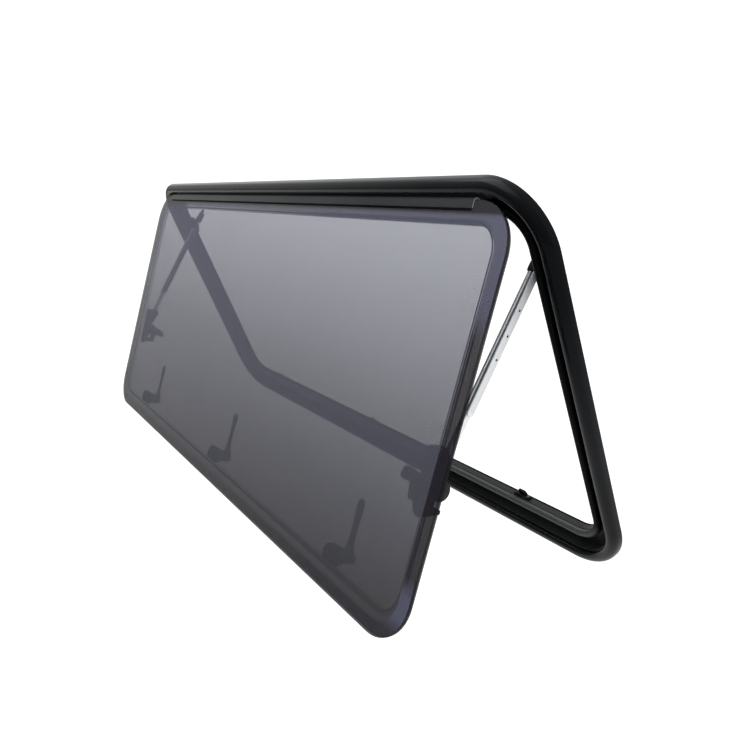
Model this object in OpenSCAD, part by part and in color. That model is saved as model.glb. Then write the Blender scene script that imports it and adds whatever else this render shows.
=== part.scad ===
// Top-hung push-out caravan window: outer frame, hinged double-sheet pane,
// two telescopic stays and three turn latches. Millimetres.
// X runs to the right seen from outside, -Y points outside, Z is up.
// The origin is on the wall-seating face of the flange, at the middle of the bottom rail.

/* [Frame] */
// Overall width of the outer frame
frame_w = 1000; // [700:10:1500]
// Overall height of the outer frame
frame_h = 456; // [380:2:700]
// Outer corner radius of the frame
corner_r = 69; // [60:1:90]

/* [Pane] */
// Opening angle the window is stored at, in degrees
open_deg = 39.92; // [0:0.01:50]
// Gap between the frame's outer edge and the pane's edge
pane_inset = 20.5; // [19:0.5:24]
// Height of the pane
pane_h = 408.8; // [330:0.2:650]
// Corner radius of the pane
pane_r = 48; // [30:1:60]
// Thickness of the outer sheet
outer_t = 3; // [2:0.5:4]
// Depth of the formed inner sheet behind the outer face
pillow_d = 9.5; // [8:0.5:12]

/* [Stays] */
// Distance of each stay from the window's middle
stay_x = 453.4; // [300:0.2:600]
// Length of the stay's outer channel
channel_l = 140; // [100:1:180]

/* [Latches] */
// Spacing of the latches along the bottom rail
latch_pitch = 341; // [200:1:500]
// Length of a latch lever from its pivot to its tip
lever_l = 64; // [40:1:80]

/* [Hidden] */
$fn = 48;
z0 = -10;
zm = z0 + frame_h/2;
// hinge axis
hy = 1.6;
hz = 426.8;
// outer face and bottom edge of the closed pane
py = -9.93;
pz = 10.2;
pane_w = frame_w - 2*pane_inset;
// stay pivot on the frame and on the closed pane
fy = 12.2;
fz = 354.2;
ss = 176.4;
sd = 19.5;
// clamp screw axis on the pane
ks = 149;
kd = 22;
// stay direction and length at the stored opening angle
ey = hy + (ss + pz - hz)*sin(open_deg) + (sd + py - hy)*cos(open_deg);
ez = hz + (ss + pz - hz)*cos(open_deg) - (sd + py - hy)*sin(open_deg);
stay_l = sqrt((ey - fy)*(ey - fy) + (ez - fz)*(ez - fz));
psi = atan2(fy - ey, fz - ez);
latch_s = 34;

bead_p = [[0,0],[0,-3.5],[0.6,-7],[2.4,-10.2],[5.2,-12.2],[8.5,-12.9],[11.6,-12.4],[14,-10.6],[14,0]];
throat_p = [[14,-6],[15.5,-6],[15.5,6],[28,6],[28,3],[36.8,3],[36.8,13.5],[34.4,13.5],[34.4,8],[14,8]];
liner_p = [[17,6],[17,5],[18.2,5],[18.2,5.5],[19.6,5.5],[19.6,5],[20.8,5],[20.8,5.5],[22.2,5.5],[22.2,5],[23.4,5],[23.4,5.5],[24.8,5.5],[24.8,5],[26,5],[26,6]];
bulb_p = [for (a = [0:20:340]) [32.4 + 4.3*cos(a), 0.9 + 4.3*sin(a) > 3 ? 3 : 0.9 + 4.3*sin(a)]];
strip_p = [[400.8,0.8],[408.9,0.8],[411.2,-1.5],[411.2,-5.95],[400.8,-5.95],[400.8,-5.05],[408.85,-5.05],[408.85,0.05],[400.8,0.05]];

// a closed ring with rounded corners, from a section given as [distance in from the edge, y]
module ring(p, w, h, r) {
  q = [for (a = p) [r - a[0], a[1]]];
  cx = w/2 - r;
  cy = h/2 - r;
  rotate([-90,0,0]) union() {
    translate([cx, cy, 0]) rotate_extrude(angle = 90, $fn = 96) polygon(q);
    translate([-cx, cy, 0]) rotate([0,0,90]) rotate_extrude(angle = 90, $fn = 96) polygon(q);
    translate([-cx, -cy, 0]) rotate([0,0,180]) rotate_extrude(angle = 90, $fn = 96) polygon(q);
    translate([cx, -cy, 0]) rotate([0,0,270]) rotate_extrude(angle = 90, $fn = 96) polygon(q);
    translate([cx, cy, 0]) rotate([90,0,0]) linear_extrude(2*cy) polygon(q);
    translate([-cx, -cy, 0]) rotate([0,0,180]) rotate([90,0,0]) linear_extrude(2*cy) polygon(q);
    translate([-cx, cy, 0]) rotate([0,0,90]) rotate([90,0,0]) linear_extrude(2*cx) polygon(q);
    translate([cx, -cy, 0]) rotate([0,0,-90]) rotate([90,0,0]) linear_extrude(2*cx) polygon(q);
  }
}
module frame_ring(p) translate([0,0,zm]) ring(p, frame_w, frame_h, corner_r);

// the opened pane: shapes are drawn as they lie when the window is closed
module opened() translate([0,hy,hz]) rotate([-open_deg,0,0]) translate([0,-hy,-hz]) children();
// pane axes: x across, y up from the pane's bottom edge, z outwards from its face
module on_pane() opened() translate([0,py,pz]) rotate([90,0,0]) children();
// stay axes: z runs from the frame pivot back along the stay, so the stay lies at -z
module on_stay() translate([stay_x,fy,fz]) rotate([-psi,0,0]) children();
module left() mirror([1,0,0]) children();

// rounded plate in pane axes
module rplate(x, y0, y1, r, z, t) translate([0,0,z]) linear_extrude(t) union() {
  translate([-x + r, y0]) square([2*x - 2*r, y1 - y0]);
  translate([-x, y0 + r]) square([2*x, y1 - y0 - 2*r]);
  for (i = [-1,1]) for (k = [y0 + r, y1 - r]) translate([i*(x - r), k]) circle(r, $fn = 96);
}

module frame_bead() color([0.06,0.06,0.06]) frame_ring(bead_p);
module frame_throat() color([0.1,0.1,0.1]) frame_ring(throat_p);
module recess_liner() color([0.03,0.03,0.03]) frame_ring(liner_p);
module bulb_seal() color([0.02,0.02,0.02]) frame_ring(bulb_p);

module knuckle(x, w) translate([x - w/2, hy - 2.6, hz - 2.4]) cube([w, 6, 4.8]);
module hinge_rail() color([0.05,0.05,0.05]) union() {
  translate([-430,hy,hz]) rotate([0,90,0]) cylinder(r = 1.6, h = 860);
  for (x = [-429,-143,143,429]) knuckle(x, 8);
}

module keeper(x) color([0.04,0.04,0.05]) translate([x,0,z0 + 36.8]) union() {
  translate([-13,4.6,0]) cube([26,7.1,1.8]);
  translate([-12.4,4.8,0]) cube([13,4.2,4.4]);
  translate([-7,8.7,0]) cube([14,3,7.4]);
}
module keeper_left() keeper(-latch_pitch);
module keeper_mid() keeper(0);
module keeper_right() keeper(latch_pitch);

module stay_mount() color([0.05,0.05,0.05]) union() {
  difference() {
    translate([460.9,5,fz - 14]) cube([2.3,12.6,30]);
    translate([455,8.5,fz - 9.5]) rotate([0,90,0]) cylinder(r = 1.8, h = 12);
    translate([455,8.5,fz + 10.5]) rotate([0,90,0]) cylinder(r = 1.8, h = 12);
  }
  translate([447.4,fy,fz]) rotate([0,90,0]) cylinder(r = 3, h = 14);
  translate([458.9,fy,fz]) rotate([0,90,0]) cylinder(r = 6, h = 2.5);
  on_stay() translate([-4.8,-4,9]) cube([9.6,8,18.5]);
  on_stay() translate([-4.7,-3.8,20]) cube([4.4,4,14]);
  on_stay() translate([4.7,-4,9]) cube([4,8,9]);
  on_stay() translate([5.7,-3.8,-1]) cube([2.4,7.6,15]);
}
module stay_mount_right() stay_mount();
module stay_mount_left() left() stay_mount();

module outer_sheet() color([0.2,0.2,0.23,0.5]) on_pane() rplate(pane_w/2, 0, pane_h, pane_r, -outer_t, outer_t);
module inner_sheet() color([0.2,0.2,0.23,0.4]) on_pane() difference() {
  union() {
    rplate(pane_w/2 - 0.5, 0.5, pane_h - 0.5, pane_r - 0.5, -5, 5 - outer_t);
    rplate(pane_w/2 - 22, 21.5, pane_h - 23.8, 30, -pillow_d, pillow_d - 4);
  }
  rplate(pane_w/2 - 25, 24.5, pane_h - 26.8, 27, -pillow_d + 2.5, pillow_d);
}
module sheet_spacer() color([0.1,0.1,0.12]) on_pane() difference() {
  rplate(pane_w/2 - 25.1, 24.6, pane_h - 26.9, 26.9, -outer_t - 3.9, 3.8);
  rplate(pane_w/2 - 27.6, 27.1, pane_h - 29.4, 24.4, -outer_t - 5, 6);
}

module hinge_strip() color([0.12,0.12,0.13]) on_pane() difference() {
  union() {
    translate([-424,0,0]) rotate([90,0,90]) linear_extrude(848) polygon(strip_p);
    translate([-424,409.4,-12.9]) cube([848,1.8,7.3]);
    translate([-424,409.4,-12.9]) cube([848,5.2,3.3]);
    translate([-424,hz - pz,py - hy]) rotate([0,90,0]) cylinder(r = 3, h = 848);
  }
  translate([-430,hz - pz,py - hy]) rotate([0,90,0]) cylinder(r = 1.66, h = 860);
  for (x = [-143,143]) translate([x - 5,411.6,-20]) cube([10,14,15]);
}

// profile drawn as [up the pane, depth behind its outer face], extruded from x0 to x1
module slab(x0, x1, p) translate([x0,0,0]) rotate([90,0,90]) linear_extrude(x1 - x0) polygon([for (a = p) [a[0], -a[1]]]);
module disc(x0, x1, r) translate([x0,ks,-kd]) rotate([0,90,0]) cylinder(r = r, h = x1 - x0);

// clevis on the pane for the lower end of a stay, with the clamp screw below it
module pane_bracket() color([0.06,0.06,0.07]) on_pane() difference() {
  union() {
    translate([438,131,-pillow_d - 2]) cube([20.2,56,2]);
    translate([448.1,131.1,-pillow_d - 2]) cylinder(r = 10.1, h = 2);
    slab(440, 449.4, [[187,9.6],[188,14],[188,22],[186,26.5],[181,27],[176,25],[157,17.5],[134,17.5],[126,15.5],[123.5,12],[123.5,9.6]]);
    slab(456.9, 458.2, [[187,9.6],[187,18],[182,21],[176,23.5],[157,22],[157,9.6]]);
    slab(440, 458.2, [[158,9.6],[158,17],[134,17],[131,27],[127,27],[124.5,12],[124.5,9.6]]);
    disc(437, 458.2, 7.5);
    disc(452, 458.2, 10);
    disc(416, 438, 3);
    translate([449.2,ss,-sd]) rotate([0,90,0]) cylinder(r = 2, h = 0.7);
  }
  translate([449.8,160,-20]) cube([6.9,40,12]);
  translate([444.6,180,-40]) cylinder(r = 2, h = 35);
}
module pane_bracket_right() pane_bracket();
module pane_bracket_left() left() pane_bracket();

module clamp_knob() color([0.05,0.05,0.06]) on_pane() difference() {
  union() {
    slab(404, 413.2, [[155,16.6],[156.9,21],[153.4,30],[149.5,33.8],[146,33.8],[141.4,32.2],[140.9,30.8],[144.6,23],[142.6,17.6],[146,14.6],[152,14.6]]);
    slab(419.2, 428.6, [[154,17.5],[153,28],[145,27.4],[141.6,23.2],[129,22.8],[127.8,21.2],[127.8,18.6],[129.2,17.2],[141,15.8],[148,15.2]]);
    disc(412.5, 436.4, 6.5);
  }
  disc(415.5, 440, 3.05);
}
module clamp_knob_right() clamp_knob();
module clamp_knob_left() left() clamp_knob();

module latch_base(x) color([0.06,0.06,0.07]) on_pane() translate([x,latch_s,0]) union() {
  translate([0,0,-pillow_d - 3]) cylinder(r = 11.5, h = 3);
  translate([0,0,-20.7]) cylinder(r1 = 7, r2 = 11.3, h = 8.4);
  translate([0,0,-28.5]) cylinder(r = 3, h = 10);
}
// pad between the two sheets, under a latch
module latch_pad(x) color([0.06,0.06,0.07]) on_pane() translate([x,0,-6.95]) intersection() {
  translate([0,latch_s,0]) cylinder(r = 13.6, h = 3.9);
  translate([-20,27.3,-1]) cube([40,30,6]);
}
module latch_pad_left() latch_pad(-latch_pitch);
module latch_pad_mid() latch_pad(0);
module latch_pad_right() latch_pad(latch_pitch);
module latch_base_left() latch_base(-latch_pitch);
module latch_base_mid() latch_base(0);
module latch_base_right() latch_base(latch_pitch);

module latch_lever(x) color([0.05,0.05,0.06]) on_pane() translate([x,latch_s,-31.5]) difference() {
  union() {
    cylinder(r = 8.5, h = 10);
    translate([-4.8,0,2.6]) cube([9.6,lever_l - 6,3.6]);
    translate([0,lever_l - 5.6,1.9]) cylinder(r = 5.6, h = 4.6);
    translate([0,-5,2.5]) cube([9,10,6.5]);
    translate([9,0,2.5]) cylinder(r = 5, h = 6.5);
  }
  translate([0,0,2.9]) cylinder(r = 3.05, h = 8);
}
module latch_lever_left() latch_lever(-latch_pitch);
module latch_lever_mid() latch_lever(0);
module latch_lever_right() latch_lever(latch_pitch);

module stay_channel() color([0.75,0.76,0.78]) on_stay() difference() {
  translate([-4.8,-4,-7 - channel_l]) cube([9.6,8,channel_l]);
  translate([-3.8,-3,-8 - channel_l]) cube([7.6,9,channel_l + 2]);
  for (t = [44.6,70.6,94.3]) translate([0,0.8,-t]) rotate([0,90,0]) cylinder(r = 1.2, h = 10);
}
module stay_channel_right() stay_channel();
module stay_channel_left() left() stay_channel();

module stay_cap() color([0.04,0.04,0.04]) on_stay() difference() {
  union() {
    translate([-4.8,0,0]) rotate([0,90,0]) cylinder(r = 5.5, h = 9.6);
    translate([-4.8,-4,-7]) cube([9.6,8,7]);
    translate([-3.7,-2.9,-20]) cube([7.4,6.7,14]);
  }
  translate([-7,0,0]) rotate([0,90,0]) cylinder(r = 3.05, h = 14);
}
module stay_cap_right() stay_cap();
module stay_cap_left() left() stay_cap();

module stay_rod() color([0.7,0.71,0.73]) on_stay() union() {
  translate([-3,-2.7,-stay_l]) cube([6,6.3,stay_l - 78]);
  translate([-3,0,-stay_l]) rotate([0,90,0]) cylinder(r = 3.6, h = 6);
}
module stay_rod_right() stay_rod();
module stay_rod_left() left() stay_rod();

frame_bead();
frame_throat();
recess_liner();
bulb_seal();
hinge_rail();
keeper_left();
keeper_mid();
keeper_right();
stay_mount_left();
stay_mount_right();
outer_sheet();
inner_sheet();
sheet_spacer();
hinge_strip();
pane_bracket_left();
pane_bracket_right();
latch_base_left();
latch_base_mid();
latch_base_right();
latch_pad_left();
latch_pad_mid();
latch_pad_right();
clamp_knob_left();
clamp_knob_right();
latch_lever_left();
latch_lever_mid();
latch_lever_right();
stay_channel_left();
stay_channel_right();
stay_cap_left();
stay_cap_right();
stay_rod_left();
stay_rod_right();
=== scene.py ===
import math
import bpy
import bmesh
from mathutils import Matrix, Vector


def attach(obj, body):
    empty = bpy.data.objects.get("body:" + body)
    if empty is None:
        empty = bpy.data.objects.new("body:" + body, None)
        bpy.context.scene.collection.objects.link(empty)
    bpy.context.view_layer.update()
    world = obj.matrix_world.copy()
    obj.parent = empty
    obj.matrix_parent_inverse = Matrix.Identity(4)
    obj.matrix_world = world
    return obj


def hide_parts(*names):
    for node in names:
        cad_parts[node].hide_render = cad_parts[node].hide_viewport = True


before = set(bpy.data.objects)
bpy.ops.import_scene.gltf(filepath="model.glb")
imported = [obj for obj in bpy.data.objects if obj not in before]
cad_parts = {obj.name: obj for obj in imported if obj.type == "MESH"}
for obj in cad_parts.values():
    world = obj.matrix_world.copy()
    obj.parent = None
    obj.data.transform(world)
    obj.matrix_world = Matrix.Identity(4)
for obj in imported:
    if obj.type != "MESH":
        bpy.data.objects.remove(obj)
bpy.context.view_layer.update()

MM = 0.001
# ---------------------------------------------------------------- the part's own numbers, mm
FRAME_W, FRAME_H, CORNER_R, Z0 = 1000.0, 456.0, 69.0, -10.0
ZM = Z0 + FRAME_H / 2
OPEN = math.radians(39.92)
HY, HZ = 1.6, 426.8
PY, PZ = -9.93, 10.2
PANE_W, PANE_H, PANE_R = 959.0, 408.8, 48.0
STAY_X, FY, FZ = 453.4, 12.2, 354.2
SS, SD = 176.4, 19.5
KS, KD = 149.0, 22.0
CHANNEL_L = 140.0
PITCH, LATCH_S = 341.0, 34.0
co, si = math.cos(OPEN), math.sin(OPEN)
EY = HY + (SS + PZ - HZ) * si + (SD + PY - HY) * co
EZ = HZ + (SS + PZ - HZ) * co - (SD + PY - HY) * si
STAY_L = math.hypot(EY - FY, EZ - FZ)
PSI = math.atan2(FY - EY, FZ - EZ)


def pane_point(x, s, d):
    ry, rz = d + PY - HY, s + PZ - HZ
    return Vector((x, HY + ry * co + rz * si, HZ - ry * si + rz * co)) * MM


# pane axes: x across, y up from the bottom edge, z outwards from the outer face
o = pane_point(0, 0, 0)
PANE_M = Matrix(((1, 0, 0, o.x), (0, si, -co, o.y), (0, co, si, o.z), (0, 0, 0, 1)))


def stay_matrix(side):
    return Matrix.Translation(Vector((side * STAY_X, FY, FZ)) * MM) @ Matrix.Rotation(-PSI, 4, "X")


# ---------------------------------------------------------------- mesh helpers
def obj_from(name, verts, faces, matrix=None, mats=(), face_mats=None, angle=32.0, scale=MM):
    me = bpy.data.meshes.new(name)
    me.from_pydata([tuple(c * scale for c in v) for v in verts], [], faces)
    if face_mats:
        me.polygons.foreach_set("material_index", face_mats)
    me.validate()
    ob = bpy.data.objects.new(name, me)
    bpy.context.scene.collection.objects.link(ob)
    for m in mats:
        me.materials.append(m)
    if matrix is not None:
        ob.matrix_world = matrix
    tidy(ob, angle)
    return ob


def tidy(ob, angle=32.0):
    """Merge doubles, point the normals out, smooth faces and mark the sharp edges."""
    bm = bmesh.new()
    bm.from_mesh(ob.data)
    bmesh.ops.remove_doubles(bm, verts=bm.verts, dist=1e-7)
    bmesh.ops.dissolve_degenerate(bm, edges=bm.edges, dist=1e-7)
    bmesh.ops.recalc_face_normals(bm, faces=bm.faces)
    lim = math.radians(angle)
    for f in bm.faces:
        f.smooth = True
    for e in bm.edges:
        e.smooth = not (len(e.link_faces) == 2 and e.calc_face_angle(0) > lim)
    bm.to_mesh(ob.data)
    bm.free()
    ob.data.update()


def join(name, parts, matrix=None, mats=(), angle=32.0):
    """parts: list of (verts, faces) or (verts, faces, material index), in mm."""
    V, F, M = [], [], []
    for p in parts:
        n = len(V)
        V += list(p[0])
        F += [tuple(i + n for i in f) for f in p[1]]
        M += [p[2] if len(p) > 2 else 0] * len(p[1])
    return obj_from(name, V, F, matrix, mats, M, angle)


def moved(part, m):
    return ([tuple(m @ Vector(v)) for v in part[0]], part[1]) + tuple(part[2:])


def apply_mods(ob):
    bpy.context.view_layer.update()
    dg = bpy.context.evaluated_depsgraph_get()
    me = bpy.data.meshes.new_from_object(ob.evaluated_get(dg))
    ob.modifiers.clear()
    ob.data = me
    return ob


def cut(ob, cutters):
    for c in cutters:
        m = ob.modifiers.new("cut", "BOOLEAN")
        m.operation, m.solver, m.object = "DIFFERENCE", "EXACT", c
    apply_mods(ob)
    for c in cutters:
        bpy.data.objects.remove(c)
    return ob


def rr(hw, h0, h1, r, n=24, m=6):
    """Rounded rectangle outline from x -hw..hw, y h0..h1, anticlockwise, with points along the straights."""
    pts = []
    cs = [(hw - r, h1 - r, 0), (-hw + r, h1 - r, 90), (-hw + r, h0 + r, 180), (hw - r, h0 + r, 270)]
    for k, (cx, cy, a0) in enumerate(cs):
        for i in range(n + 1):
            a = math.radians(a0 + 90 * i / n)
            pts.append((cx + r * math.cos(a), cy + r * math.sin(a)))
        nx, ny, na = cs[(k + 1) % 4]
        a = math.radians(na)
        p, q = pts[-1], (nx + r * math.cos(a), ny + r * math.sin(a))
        for i in range(1, m):
            t = i / m
            pts.append((p[0] + (q[0] - p[0]) * t, p[1] + (q[1] - p[1]) * t))
    return pts


def ring_sweep(prof, hw, hh, r, n=30, m=10):
    """Sweep a closed section [(u in from the edge, y)] round the frame."""
    V, F = [], []
    K = 0
    for u, y in prof:
        loop = rr(hw - u, -hh + u, hh - u, r - u, n, m)
        K = len(loop)
        V += [(p[0], y, p[1] + ZM) for p in loop]
    P = len(prof)
    for j in range(P):
        a, b = j * K, ((j + 1) % P) * K
        for i in range(K):
            k = (i + 1) % K
            F.append((a + i, a + k, b + k, b + i))
    return V, F


def arc_fillet(pts, n=4):
    """Polygon with a radius at each corner [(x, y, r)] -> fine outline."""
    out = []
    N = len(pts)
    for i in range(N):
        x, y, r = pts[i]
        p = Vector((x, y))
        a = Vector(pts[i - 1][:2]) - p
        b = Vector(pts[(i + 1) % N][:2]) - p
        if r <= 0:
            out.append((x, y))
            continue
        la, lb = a.length, b.length
        a.normalize(); b.normalize()
        ang = math.acos(max(-1, min(1, a.dot(b))))
        if ang > math.pi - 0.02 or ang < 0.03:
            out.append((x, y))
            continue
        t = min(r / math.tan(ang / 2), la * 0.49, lb * 0.49)
        rr_ = t * math.tan(ang / 2)
        bis = (a + b).normalized()
        c = p + bis * (rr_ / math.sin(ang / 2))
        s, e = p + a * t, p + b * t
        a0 = math.atan2(s.y - c.y, s.x - c.x)
        a1 = math.atan2(e.y - c.y, e.x - c.x)
        d = (a1 - a0 + math.pi) % (2 * math.pi) - math.pi
        for k in range(n + 1):
            t_ = a0 + d * k / n
            out.append((c.x + rr_ * math.cos(t_), c.y + rr_ * math.sin(t_)))
    return out


def spline(pts, n=4):
    """Catmull-Rom through the points, open."""
    out = []
    P = [Vector(p) for p in pts]
    P = [P[0] * 2 - P[1]] + P + [P[-1] * 2 - P[-2]]
    for i in range(1, len(P) - 2):
        p0, p1, p2, p3 = P[i - 1], P[i], P[i + 1], P[i + 2]
        for k in range(n):
            t = k / n
            out.append(tuple(0.5 * ((2 * p1) + (p2 - p0) * t + (2 * p0 - 5 * p1 + 4 * p2 - p3) * t * t + (3 * p1 - p0 - 3 * p2 + p3) * t * t * t)))
    out.append(tuple(P[-2]))
    return out


def area2(pts):
    return sum(pts[i - 1][0] * pts[i][1] - pts[i][0] * pts[i - 1][1] for i in range(len(pts)))


def inset(pts, d):
    """Move an outline inwards by d, corner by corner."""
    sg = 1 if area2(pts) > 0 else -1
    out = []
    N = len(pts)
    for i in range(N):
        p, a, b = Vector(pts[i]), Vector(pts[i - 1]), Vector(pts[(i + 1) % N])
        e1, e2 = (p - a), (b - p)
        if e1.length < 1e-6 or e2.length < 1e-6:
            e = e1 if e1.length > e2.length else e2
            n_ = Vector((-e.y, e.x)).normalized() * sg
            out.append(tuple(p + n_ * d))
            continue
        e1.normalize(); e2.normalize()
        n1, n2 = Vector((-e1.y, e1.x)) * sg, Vector((-e2.y, e2.x)) * sg
        nn = n1 + n2
        if nn.length < 1e-6:
            nn = n1
        nn.normalize()
        out.append(tuple(p + nn * (d / max(0.35, nn.dot(n1)))))
    return out


def prism(pts, z0, z1, c=0.4, c0=None):
    """Extruded outline with softened edges (c at the z1 end, c0 at the z0 end)."""
    if c0 is None:
        c0 = c
    s = 1 if z1 > z0 else -1
    levels = []
    if c0 > 0:
        levels += [(inset(pts, c0), z0), (inset(pts, c0 * 0.3), z0 + s * c0 * 0.3)]
        levels.append((pts, z0 + s * c0))
    else:
        levels.append((pts, z0))
    if c > 0:
        levels.append((pts, z1 - s * c))
        levels += [(inset(pts, c * 0.3), z1 - s * c * 0.3), (inset(pts, c), z1)]
    else:
        levels.append((pts, z1))
    V, F = [], []
    N = len(pts)
    for L, z in levels:
        V += [(p[0], p[1], z) for p in L]
    for j in range(len(levels) - 1):
        for i in range(N):
            k = (i + 1) % N
            F.append((j * N + i, j * N + k, (j + 1) * N + k, (j + 1) * N + i))
    F.append(tuple(range(N)))
    F.append(tuple(range((len(levels) - 1) * N, len(levels) * N)))
    return V, F


def lathe(prof, n=32, cx=0.0, cy=0.0):
    """Turn [(r, z)] about z. Ends with r = 0 close in a point."""
    V, F = [], []
    rows = []
    for r, z in prof:
        if r <= 1e-6:
            rows.append([len(V)])
            V.append((cx, cy, z))
        else:
            rows.append(list(range(len(V), len(V) + n)))
            V += [(cx + r * math.cos(2 * math.pi * i / n), cy + r * math.sin(2 * math.pi * i / n), z) for i in range(n)]
    for a, b in zip(rows, rows[1:]):
        for i in range(n):
            k = (i + 1) % n
            if len(a) == 1 and len(b) == 1:
                continue
            if len(a) == 1:
                F.append((a[0], b[k], b[i]))
            elif len(b) == 1:
                F.append((a[i], a[k], b[0]))
            else:
                F.append((a[i], a[k], b[k], b[i]))
    if len(rows[0]) > 1:
        F.append(tuple(rows[0]))
    if len(rows[-1]) > 1:
        F.append(tuple(rows[-1]))
    return V, F


def loft(sections):
    """Skin a list of equal closed loops, with both ends closed."""
    V, F = [], []
    N = len(sections[0])
    for s in sections:
        V += [tuple(p) for p in s]
    for j in range(len(sections) - 1):
        for i in range(N):
            k = (i + 1) % N
            F.append((j * N + i, j * N + k, (j + 1) * N + k, (j + 1) * N + i))
    F.append(tuple(range(N)))
    F.append(tuple(range((len(sections) - 1) * N, len(sections) * N)))
    return V, F


def superell(w, h, n=24, e=2.6):
    """Rounded section of width w and height h."""
    out = []
    for i in range(n):
        a = 2 * math.pi * (i + 0.5) / n
        c, s = math.cos(a), math.sin(a)
        out.append((w / 2 * math.copysign(abs(c) ** (2 / e), c), h / 2 * math.copysign(abs(s) ** (2 / e), s)))
    return out


def rod_x(x0, x1, prof_r, cy, cz, n=32, c=0.4):
    """Round bar along x with softened ends."""
    s = 1 if x1 > x0 else -1
    p = lathe([(prof_r - c, x0), (prof_r - 0.3 * c, x0 + s * 0.3 * c), (prof_r, x0 + s * c), (prof_r, x1 - s * c), (prof_r - 0.3 * c, x1 - s * 0.3 * c), (prof_r - c, x1)], n)
    return ([(v[2], cy + v[0], cz + v[1]) for v in p[0]], p[1])


def screw_head(r=2.6, h=1.4, n=24):
    """Pan head with a cross recess, standing on z = 0. Returns a part with the recess sunk in its crown."""
    prof = [(r, 0), (r, h * 0.35), (r * 0.93, h * 0.66), (r * 0.72, h * 0.9), (r * 0.62, h * 0.97)]
    V, F = lathe(prof + [(r * 0.6, h)], n)
    F = F[:-1]
    top = list(range(len(V) - n, len(V)))
    # cross recess: a plus-shaped pit inside the crown
    a, b = r * 0.42, r * 0.13
    plus = [(b, a), (-b, a), (-b, b), (-a, b), (-a, -b), (-b, -b), (-b, -a), (b, -a), (b, -b), (a, -b), (a, b), (b, b)]
    k0 = len(V)
    V += [(x, y, h) for x, y in plus]
    k1 = len(V)
    V += [(x * 0.8, y * 0.8, h * 0.35) for x, y in plus]
    P = len(plus)
    for i in range(P):
        j = (i + 1) % P
        F.append((k0 + i, k0 + j, k1 + j, k1 + i))
    F.append(tuple(range(k1, k1 + P)))
    # crown between the circle and the cross: fan by nearest angle
    ang = lambda p: math.atan2(p[1], p[0]) % (2 * math.pi)
    circ = sorted(top, key=lambda i: ang(V[i]))
    cross = sorted(range(k0, k0 + P), key=lambda i: ang(V[i]))
    i = j = 0
    while i < len(circ) or j < len(cross):
        ci, cj = circ[i % len(circ)], cross[j % len(cross)]
        ni, nj = circ[(i + 1) % len(circ)], cross[(j + 1) % len(cross)]
        ai = ang(V[ni]) + (2 * math.pi if i + 1 >= len(circ) else 0)
        aj = ang(V[nj]) + (2 * math.pi if j + 1 >= len(cross) else 0)
        if i < len(circ) and (j >= len(cross) or ai <= aj):
            F.append((ci, ni, cj))
            i += 1
        else:
            F.append((ci, nj, cj))
            j += 1
    return V, F


# ---------------------------------------------------------------- material helpers
def new_mat(name):
    m = bpy.data.materials.new(name)
    m.use_nodes = True
    nt = m.node_tree
    nt.nodes.clear()
    out = nt.nodes.new("ShaderNodeOutputMaterial")
    bs = nt.nodes.new("ShaderNodeBsdfPrincipled")
    nt.links.new(bs.outputs[0], out.inputs[0])
    return m, nt, bs


def node(nt, kind, **kw):
    n = nt.nodes.new(kind)
    for k, v in kw.items():
        if k.startswith("i_"):
            n.inputs[k[2:].replace("_", " ")].default_value = v
        else:
            setattr(n, k, v)
    return n


def ramp(nt, src, stops, interp="LINEAR"):
    r = nt.nodes.new("ShaderNodeValToRGB")
    r.color_ramp.interpolation = interp
    el = r.color_ramp.elements
    while len(el) > 1:
        el.remove(el[-1])
    for k, (p, c) in enumerate(stops):
        e = el[0] if k == 0 else el.new(p)
        e.position = p
        e.color = c if len(c) == 4 else (*c, 1)
    nt.links.new(src, r.inputs[0])
    return r.outputs[0]


def math_(nt, op, a, b=None, c=None, clamp=False):
    n = nt.nodes.new("ShaderNodeMath")
    n.operation, n.use_clamp = op, clamp
    for k, v in enumerate((a, b, c)):
        if v is None:
            continue
        if isinstance(v, (int, float)):
            n.inputs[k].default_value = v
        else:
            nt.links.new(v, n.inputs[k])
    return n.outputs[0]


def noise_(nt, vec, scale, detail=3.0, rough=0.5):
    n = nt.nodes.new("ShaderNodeTexNoise")
    n.inputs["Scale"].default_value = scale
    n.inputs["Detail"].default_value = detail
    n.inputs["Roughness"].default_value = rough
    nt.links.new(vec, n.inputs["Vector"])
    return n.outputs["Fac"]


def coords(nt, scale=(1, 1, 1)):
    tc = nt.nodes.new("ShaderNodeTexCoord")
    mp = nt.nodes.new("ShaderNodeMapping")
    mp.inputs["Scale"].default_value = scale
    nt.links.new(tc.outputs["Object"], mp.inputs["Vector"])
    return mp.outputs[0]


def mix_col(nt, fac, a, b):
    n = nt.nodes.new("ShaderNodeMix")
    n.data_type = "RGBA"
    nt.links.new(fac, n.inputs["Factor"])
    for k, v in ((6, a), (7, b)):
        if isinstance(v, (tuple, list)):
            n.inputs[k].default_value = (*v, 1) if len(v) == 3 else v
        else:
            nt.links.new(v, n.inputs[k])
    return n.outputs[2]


def bump(nt, bs, h, strength=0.2, dist=0.0002):
    b = nt.nodes.new("ShaderNodeBump")
    b.inputs["Strength"].default_value = strength
    b.inputs["Distance"].default_value = dist
    nt.links.new(h, b.inputs["Height"])
    nt.links.new(b.outputs[0], bs.inputs["Normal"])
    return b


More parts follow.
